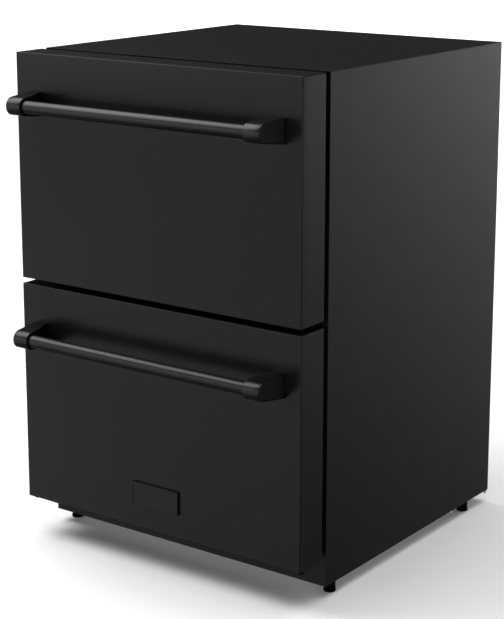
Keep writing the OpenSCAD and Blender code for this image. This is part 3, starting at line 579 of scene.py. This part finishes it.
def bracket(name, node, bar_node):
    """Cast bracket at one end of a handle bar, with a round tip and flat sides down to its foot."""
    low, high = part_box(node)
    bar_low, bar_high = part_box(bar_node)
    side = 1 if low.x > 0 else -1
    bar_y = (bar_low.y + bar_high.y) / 2
    bar_z = (bar_low.z + bar_high.z) / 2
    bar_r = (bar_high.z - bar_low.z) / 2
    r = bar_y - low.y
    panel_y = high.y
    inner = min(abs(low.x), abs(high.x))
    outer = max(abs(low.x), abs(high.x))
    crease_y = bar_y + r
    top = tangent_angle(panel_y - bar_y, high.z - bar_z, r, 1)
    bottom = tangent_angle(panel_y - bar_y, low.z - bar_z, r, -1) + 2 * math.pi

    def inner_x(y):
        share = max(0.0, (y - crease_y) / (panel_y - crease_y))
        return inner + BRACKET_FOOT_IN * share

    def outer_x(y):
        return outer - BRACKET_LEAN * (panel_y - y) / (panel_y - low.y)

    def on_line(z_end, z_start, y_start):
        share = (crease_y - y_start) / (panel_y - y_start)
        return z_start + (z_end - z_start) * share

    arc = [top + (bottom - top) * i / ARC_STEPS for i in range(ARC_STEPS + 1)]
    tip = [(bar_y + r * math.cos(a), bar_z + r * math.sin(a)) for a in arc]
    top_crease = (crease_y, on_line(high.z, tip[0][1], tip[0][0]))
    bottom_crease = (crease_y, on_line(low.z, tip[-1][1], tip[-1][0]))
    outline = [(panel_y, high.z), top_crease, *tip, bottom_crease, (panel_y, low.z)]
    count = len(outline)

    def set_in(distance, from_panel=0.0):
        """The outline brought inwards by a distance, and clear of the panel by from_panel."""
        points = []
        for i, (y, z) in enumerate(outline):
            # All but the two points at either end lie on the tip's arc
            if 2 <= i < count - 2:
                a = arc[i - 2]
                points.append((y - distance * math.cos(a), z - distance * math.sin(a)))
            else:
                points.append((min(y, panel_y - from_panel), z - distance * (1 if i < 2 else -1)))
        return points

    bm = bmesh.new()

    def ring(points, x_of):
        return [bm.verts.new((side * x_of(y), y, z)) for y, z in points]

    near = ring(outline, inner_x)
    far = ring(outline, outer_x)
    loops = [
        near,
        ring(outline, lambda y: outer_x(y) - CAP_THICKNESS - CAP_LINE),
        ring(set_in(CAP_LINE), lambda y: outer_x(y) - CAP_THICKNESS - CAP_LINE / 2),
        ring(outline, lambda y: outer_x(y) - CAP_THICKNESS),
        far,
        ring(set_in(END_RIM, END_STEP), outer_x),
        ring(set_in(END_RIM + END_STEP, END_STEP), lambda y: outer_x(y) - END_STEP),
    ]
    skin(bm, loops)
    bm.faces.new(loops[-1])
    # The inner side slants from the creases to the foot, and is flat round the bar's hole
    bm.faces.new((near[0], near[1], near[-2], near[-1]))

    hole_r = bar_r + BRACKET_GAP
    mouth, depth = [], []
    for i in range(ARC_STEPS):
        a = 2 * math.pi * i / ARC_STEPS
        y, z = bar_y + hole_r * math.cos(a), bar_z + hole_r * math.sin(a)
        mouth.append(bm.verts.new((side * inner, y, z)))
        depth.append(bm.verts.new((side * (inner + BRACKET_GAP_DEPTH), y, z)))
    skin(bm, [mouth, depth])
    bm.faces.new(depth)

    rim = near[1:-1]
    edges = {bm.edges.get((a, b)) or bm.edges.new((a, b)) for a, b in zip(rim, rim[1:] + rim[:1])}
    edges |= {bm.edges.get((a, b)) for a, b in zip(mouth, mouth[1:] + mouth[:1])}
    bmesh.ops.triangle_fill(bm, use_beauty=True, use_dissolve=False, edges=list(edges))
    bmesh.ops.recalc_face_normals(bm, faces=bm.faces)

    for loop, width in ((near, BRACKET_INNER_ROUND), (far, BRACKET_OUTER_ROUND)):
        round_edges(bm, [bm.edges.get(pair) for pair in zip(loop, loop[1:])], width)
    obj = piece(name, bm, BODY_OF[node], "black_handle", sharp=BRACKET_SHARP)
    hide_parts(node)


def lathe(bm, profile, steps, centre, flute=0.0, flutes=0, fluted=()):
    """Turned solid round Z: profile is (radius, height) from the bottom up, and its rows in fluted
    have flutes that are flute deep."""
    rings = []
    for row, (r, z) in enumerate(profile):
        ring = []
        for i in range(steps):
            a = 2 * math.pi * i / steps
            dip = flute * (0.5 - 0.5 * math.cos(flutes * a)) if row in fluted else 0.0
            ring.append(bm.verts.new((
                centre[0] + (r - dip) * math.cos(a), centre[1] + (r - dip) * math.sin(a),
                centre[2] + z)))
        rings.append(ring)
    solid(bm, rings)


# Levelling foot: the pad's outline as (share of its radius, height in millimetres), the rows of it
# that have grip flutes, how far down in the pad the stud starts, and the stud's thread
FOOT_OUTLINE = [
    (0.86, 0.0), (0.95, 0.4), (1.00, 1.5), (1.00, 4.2), (0.97, 4.9), (0.90, 5.2),
    (0.90, 6.2), (0.95, 6.8), (0.95, 18.6), (0.90, 19.4), (0.80, 20.0), (0.80, 22.9),
]
FOOT_FLUTED = (7, 8)
FOOT_FLUTE = 0.7 * MM
FOOT_FLUTES = 16
FOOT_STEPS = 96
STUD_SUNK = 1 * MM
THREAD_PITCH = 1.25 * MM
THREAD_DEPTH = 0.6 * MM
THREAD_ROWS_PER_TURN = 6
THREAD_STEPS = 30
STUD_R = 3.98 * MM


def foot(name, node):
    """Levelling foot: a fluted pad on a threaded stud."""
    low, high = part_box(node)
    centre = (low + high) / 2
    pad_r = (high.x - low.x) / 2
    bm = bmesh.new()
    profile = [(share * pad_r, z * MM) for share, z in FOOT_OUTLINE]
    lathe(
        bm, profile, FOOT_STEPS, (centre.x, centre.y, low.z), FOOT_FLUTE, FOOT_FLUTES, FOOT_FLUTED)
    stud_low = low.z + profile[-1][1] - STUD_SUNK
    rows = int((high.z - stud_low) / THREAD_PITCH * THREAD_ROWS_PER_TURN)
    rings = []
    for row in range(rows + 1):
        z = stud_low + (high.z - stud_low) * row / rows
        ring = []
        for i in range(THREAD_STEPS):
            turn = i / THREAD_STEPS
            phase = (row / THREAD_ROWS_PER_TURN - turn) % 1
            r = STUD_R - THREAD_DEPTH * abs(2 * phase - 1)
            a = 2 * math.pi * turn
            ring.append(bm.verts.new((centre.x + r * math.cos(a), centre.y + r * math.sin(a), z)))
        rings.append(ring)
    solid(bm, rings)
    # The foot's rubber is darkened into painted shade
    obj = piece(name, bm, BODY_OF[node], SLOT_OF[node], finish="rubber_and_painted_shade")
    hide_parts(node)


# Bare badge plate: how far it stands out, its rounded corners and edge, its raised rim, the depth
# of the field inside the rim and the width of the slope down to it
BADGE_T = 4.6 * MM
BADGE_CORNER = 1.2 * MM
BADGE_CORNER_SEGMENTS = 4
BADGE_ROUND = 0.7 * MM
BADGE_RIM = 2.2 * MM
BADGE_FIELD = 0.9 * MM
BADGE_SLOPE = 0.5 * MM

# A vertex this close to the face lies in it, and a normal with less Y than this is a side's
TOUCHING = 0.001 * MM
SIDEWAYS = 0.1


def badge(name, node):
    """Plate with a raised rim round a bare field, on the face of the front."""
    low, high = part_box(node)
    back, face = high.y, high.y - BADGE_T

    def corners(inset, y):
        return [bm.verts.new((x, y, z)) for x, z in (
            (low.x + inset, low.z + inset), (high.x - inset, low.z + inset),
            (high.x - inset, high.z - inset), (low.x + inset, high.z - inset))]

    bm = bmesh.new()
    loops = [
        corners(0, back), corners(0, face), corners(BADGE_RIM, face),
        corners(BADGE_RIM + BADGE_SLOPE, face + BADGE_FIELD)]
    solid(bm, loops)
    upright = [bm.edges.get(pair) for pair in zip(loops[0], loops[1])]
    round_edges(bm, upright, BADGE_CORNER, BADGE_CORNER_SEGMENTS)
    bmesh.ops.recalc_face_normals(bm, faces=bm.faces)
    outer = [
        e for e in bm.edges
        if all(abs(v.co.y - face) < TOUCHING for v in e.verts)
        and any(abs(f.normal.y) < SIDEWAYS for f in e.link_faces)]
    round_edges(bm, outer, BADGE_ROUND)
    obj = piece(name, bm, BODY_OF[node], SLOT_OF[node], finish="front_coat")
    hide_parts(node)


# Press-in plugs under the lower front's corners: outline as (radius, depth below the front's edge),
# in millimetres, and their place from the front's side and face
PLUG_OUTLINE = [(2.5, 6.4), (4.2, 6.1), (4.9, 5.2), (5.0, 1.4), (5.8, 1.2), (5.8, -0.5)]
PLUG_STEPS = 40
PLUG_FROM_SIDE = 8 * MM
PLUG_FROM_FACE = 15 * MM


def plugs(name, node):
    low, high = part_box(node)
    profile = [(r * MM, -z * MM) for r, z in PLUG_OUTLINE]
    bm = bmesh.new()
    for x in (low.x + PLUG_FROM_SIDE, high.x - PLUG_FROM_SIDE):
        lathe(bm, profile, PLUG_STEPS, (x, low.y + PLUG_FROM_FACE, low.z))
    # The plugs' rubber is darkened into painted shade
    piece(name, bm, BODY_OF[node], "black_rubber", finish="rubber_and_painted_shade")


# Painted shade: a near-black band laid on the front edge of the cabinet's top, behind the upper
# front, where that edge lies in shade; its sizes in millimetres
BAND_T = 0.4
BAND_INSET = 0.6


def slab(bm, x0, x1, z0, z1, y, depth):
    """Thin bar that stands depth out towards the front from y; all but y is in millimetres."""
    outline = [(x0, z0), (x1, z0), (x1, z1), (x0, z1)]
    solid(bm, [
        [bm.verts.new((x * MM, y - out * MM, z * MM)) for x, z in outline] for out in (depth, 0)])


# Near-black sheet in front of the top's front edge, standing in for the shade there
def painted_shade_band(name, node):
    low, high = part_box(node)
    bm = bmesh.new()
    slab(
        bm, low.x / MM + BAND_INSET, high.x / MM - BAND_INSET,
        low.z / MM + BAND_INSET, high.z / MM - BAND_INSET / 2, low.y, BAND_T)
    piece(name, bm, BODY_OF[node], "black_rubber", finish="rubber_and_painted_shade")


# Control panel, in millimetres: seven-segment digits on the window (where each segment stands in a
# digit, and which of them light up), the rings round the buttons, and the marks to their right
SEGMENTS = {
    "a": (0, 1), "b": (0.5, 0.5), "c": (0.5, -0.5), "d": (0, -1), "e": (-0.5, -0.5),
    "f": (-0.5, 0.5), "g": (0, 0),
}
READING = ("g", "bc", "abcdefg")
DIGIT_W, DIGIT_H, DIGIT_LINE, DIGIT_STEP = 3.4, 4.4, 0.75, 6.0
SEGMENT_GAP = 0.5
PANEL_FILM = 0.15
RING_R, RING_LINE = 8.6, 0.45
RING_STEPS = 48
MARK_FROM_RING = 3.4
MARK, MARK_LINE = 2.2, 0.5
LAMP_R, LAMP_LINE = 0.7, 0.4


def printed_ring(bm, x, z, y, r, line):
    """Ring of printed film on the plane y, in millimetres but for y."""
    profile = [(r, 0), (r, PANEL_FILM), (r + line, PANEL_FILM), (r + line, 0)]
    rings = []
    for i in range(RING_STEPS):
        a = 2 * math.pi * i / RING_STEPS
        rings.append([
            bm.verts.new(((x + d * math.cos(a)) * MM, y - out * MM, (z + d * math.sin(a)) * MM))
            for d, out in profile])
    skin(bm, rings, closed=True)


def digits(name, node):
    """Lit digits on the window, middle on middle."""
    low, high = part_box(node)
    x = (low.x + high.x) / 2 / MM - DIGIT_STEP * (len(READING) - 1) / 2
    z = (low.z + high.z) / 2 / MM
    bm = bmesh.new()
    for number, lit in enumerate(READING):
        for segment in lit:
            dx, dz = SEGMENTS[segment]
            cx, cz = x + number * DIGIT_STEP + dx * DIGIT_W, z + dz * DIGIT_H
            if dx:
                half_w, half_h = DIGIT_LINE / 2, DIGIT_H / 2 - SEGMENT_GAP
            else:
                half_w, half_h = DIGIT_W / 2 - SEGMENT_GAP, DIGIT_LINE / 2
            slab(bm, cx - half_w, cx + half_w, cz - half_h, cz + half_h, low.y, PANEL_FILM)
    piece(name, bm, BODY_OF[node], SLOT_OF[node], finish="display_glow")


def panel_marks(name, node, buttons):
    """Printed ring round each button, and a minus, a plus or a lamp's ring beside it."""
    low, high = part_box(node)
    half = MARK_LINE / 2
    bm = bmesh.new()
    for button, mark in buttons.items():
        b_low, b_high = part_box(button)
        x, z = (b_low.x + b_high.x) / 2 / MM, (b_low.z + b_high.z) / 2 / MM
        printed_ring(bm, x, z, low.y, RING_R, RING_LINE)
        side = x + RING_R + MARK_FROM_RING
        if mark in "-+":
            slab(bm, side - MARK / 2, side + MARK / 2, z - half, z + half, low.y, PANEL_FILM)
        if mark == "+":
            for z0, z1 in ((z + half, z + MARK / 2), (z - MARK / 2, z - half)):
                slab(bm, side - half, side + half, z0, z1, low.y, PANEL_FILM)
        if mark == "o":
            printed_ring(bm, side, z, low.y, LAMP_R, LAMP_LINE)
    piece(name, bm, BODY_OF[node], SLOT_OF[node], finish="print_white")


# Soft boxes: where each stands (metres), what it aims at, its width and height, and its brightness
SOFT_BOXES = {
    "upper_left_box": ((-2.2, -1.1, 3.1), (0, -0.2, 0.6), (2.2, 2.2), 5.5),
    "high_left_box": ((-2.9, 0.8, 4.0), (0, -0.33, 0.8), (1.8, 1.8), 2.8),
    "front_left_box": ((-5.2, -7.2, 2.1), (0, -0.3, 0.8), (6.0, 4.0), 2.0),
    "right_box": ((6.0, 0.4, 1.0), (0.3, 0.1, 0.5), (3.0, 2.0), 5.0),
    "front_box": ((0.3, -6.5, 1.0), (0, -0.3, 0.5), (3.0, 2.0), 4.5),
    "rear_box": ((0.7, 6.0, 1.0), (0.3, 0, 0.6), (4.0, 2.0), 6.2),
}

# Brightness of the room. Each row has the height of a direction, from straight down (-1) to
# straight up (1), and the brightness there towards the front left, the rear right and the rear.
# The first two change evenly from one to the other. The third takes over as the cosine of the angle
# to ROOM_REAR rises from ROOM_REAR_FROM to ROOM_REAR_TO.
ROOM_LIGHT = [
    (-1.0, 0.13, 0.13, 0.13),
    (-0.6, 0.2, 0.03, 0.03),
    (-0.35, 1.25, 0.02, 1.6),
    (-0.2, 1.15, 0.1, 4.6),
    (-0.08, 0.5, 0.1, 1.2),
    (0.0, 0.1, 0.1, 0.1),
    (0.1, 0.02, 0.02, 0.02),
    (0.25, 0.03, 0.03, 0.03),
    (0.5, 0.04, 0.04, 0.04),
    (0.75, 0.12, 0.12, 0.12),
    (1.0, 3.3, 3.3, 3.3),
]
FRONT_LEFT, REAR_RIGHT, REAR = 1, 2, 3
ROOM_FRONT_LEFT = (-0.62, -0.78, 0)
ROOM_REAR = (-0.12, 0.99, 0)
ROOM_REAR_FROM, ROOM_REAR_TO = 0.8, 0.97


def soft_box(name, at, aim, size, brightness):
    data = bpy.data.lights.new(name, "AREA")
    data.shape = "RECTANGLE"
    data.size, data.size_y = size
    data.energy = brightness * math.pi * size[0] * size[1]
    obj = bpy.data.objects.new(name, data)
    obj.location = at
    obj.rotation_euler = (Vector(aim) - Vector(at)).to_track_quat("-Z", "Y").to_euler()
    obj.visible_camera = False
    bpy.context.scene.collection.objects.link(obj)


def room():
    """Plain room: light from above, and below the horizon the tones that the dark coats mirror."""
    world = bpy.data.worlds.new("room")
    world.use_nodes = True
    tree = world.node_tree
    direction = tree.nodes.new("ShaderNodeTexCoord").outputs["Generated"]
    split = tree.nodes.new("ShaderNodeSeparateXYZ")
    tree.links.new(direction, split.inputs["Vector"])
    brightest = max(max(row[1:]) for row in ROOM_LIGHT)
    tree.nodes["Background"].inputs["Strength"].default_value = brightest

    def share(value, low, high, smooth=False):
        node = tree.nodes.new("ShaderNodeMapRange")
        node.interpolation_type = "SMOOTHSTEP" if smooth else "LINEAR"
        node.inputs["From Min"].default_value = low
        node.inputs["From Max"].default_value = high
        tree.links.new(value, node.inputs["Value"])
        return node.outputs["Result"]

    def along(axis):
        node = tree.nodes.new("ShaderNodeVectorMath")
        node.operation = "DOT_PRODUCT"
        node.inputs[1].default_value = axis
        tree.links.new(direction, node.inputs[0])
        return node.outputs["Value"]

    height = share(split.outputs["Z"], -1, 1)

    def ramp(column):
        node = tree.nodes.new("ShaderNodeValToRGB")
        tree.links.new(height, node.inputs["Fac"])
        elements = node.color_ramp.elements
        for row in ROOM_LIGHT[1:-1]:
            elements.new((row[0] + 1) / 2)
        for element, row in zip(elements, ROOM_LIGHT):
            element.position = (row[0] + 1) / 2
            element.color = (*grey(row[column] / brightest), 1)
        return node.outputs["Color"]

    def mixed(factor, a, b):
        node = tree.nodes.new("ShaderNodeMix")
        node.data_type = "RGBA"
        for value, socket in ((factor, "Factor"), (a, "A"), (b, "B")):
            tree.links.new(value, node.inputs[socket])
        return node.outputs["Result"]

    sides = mixed(share(along(ROOM_FRONT_LEFT), -1, 1), ramp(REAR_RIGHT), ramp(FRONT_LEFT))
    rearward = share(along(ROOM_REAR), ROOM_REAR_FROM, ROOM_REAR_TO, smooth=True)
    light = mixed(rearward, sides, ramp(REAR))
    tree.links.new(light, tree.nodes["Background"].inputs["Color"])
    bpy.context.scene.world = world


def backdrop():
    """White wall round the floor, seen by the camera but neither mirrored nor lighting anything."""
    bm = bmesh.new()
    bmesh.ops.create_circle(bm, segments=BACKDROP_STEPS, radius=BACKDROP_R)
    raised = bmesh.ops.extrude_edge_only(bm, edges=bm.edges[:])["geom"]
    upper = [v for v in raised if isinstance(v, bmesh.types.BMVert)]
    bmesh.ops.translate(bm, verts=upper, vec=(0, 0, BACKDROP_H))
    wall = finished("backdrop", bm, backdrop_white("backdrop_white"))
    wall.data.shade_smooth()
    for seen_by in ("visible_glossy", "visible_diffuse", "visible_transmission", "visible_shadow"):
        setattr(wall, seen_by, False)


def studio():
    """Pale floor, a white backdrop, a plain soft room and soft boxes."""
    room()
    backdrop()
    for name, settings in SOFT_BOXES.items():
        soft_box(name, *settings)
    bm = bmesh.new()
    bmesh.ops.create_grid(bm, x_segments=1, y_segments=1, size=FLOOR_HALF)
    floor = finished("floor", bm, floor_paint("floor_paint"))
    floor.visible_glossy = False
    bpy.context.scene.view_settings.view_transform = "Standard"


dress_nodes()
for drawer in ("upper", "lower"):
    seal(f"{drawer}_seal", f"{drawer}_gasket")
    for hand in ("left", "right"):
        bracket(f"{drawer}_{hand}_handle_end", f"{drawer}_{hand}_bracket", f"{drawer}_handle_bar")
badge("bare_badge", "badge_plate")
plugs("lower_front_plugs", "lower_front_panel")
# Painted shade on the top's front edge, behind the upper front
painted_shade_band("top_edge_shade_sheet", "top_panel")
digits("display_digits", "display_window")
panel_marks(
    "control_panel_marks", "control_panel",
    {"colder_button": "-", "warmer_button": "+", "light_button": "o"})
for corner in ("front_left", "front_right", "rear_left", "rear_right"):
    foot(f"{corner}_leveller", f"{corner}_foot")
camera()
studio()
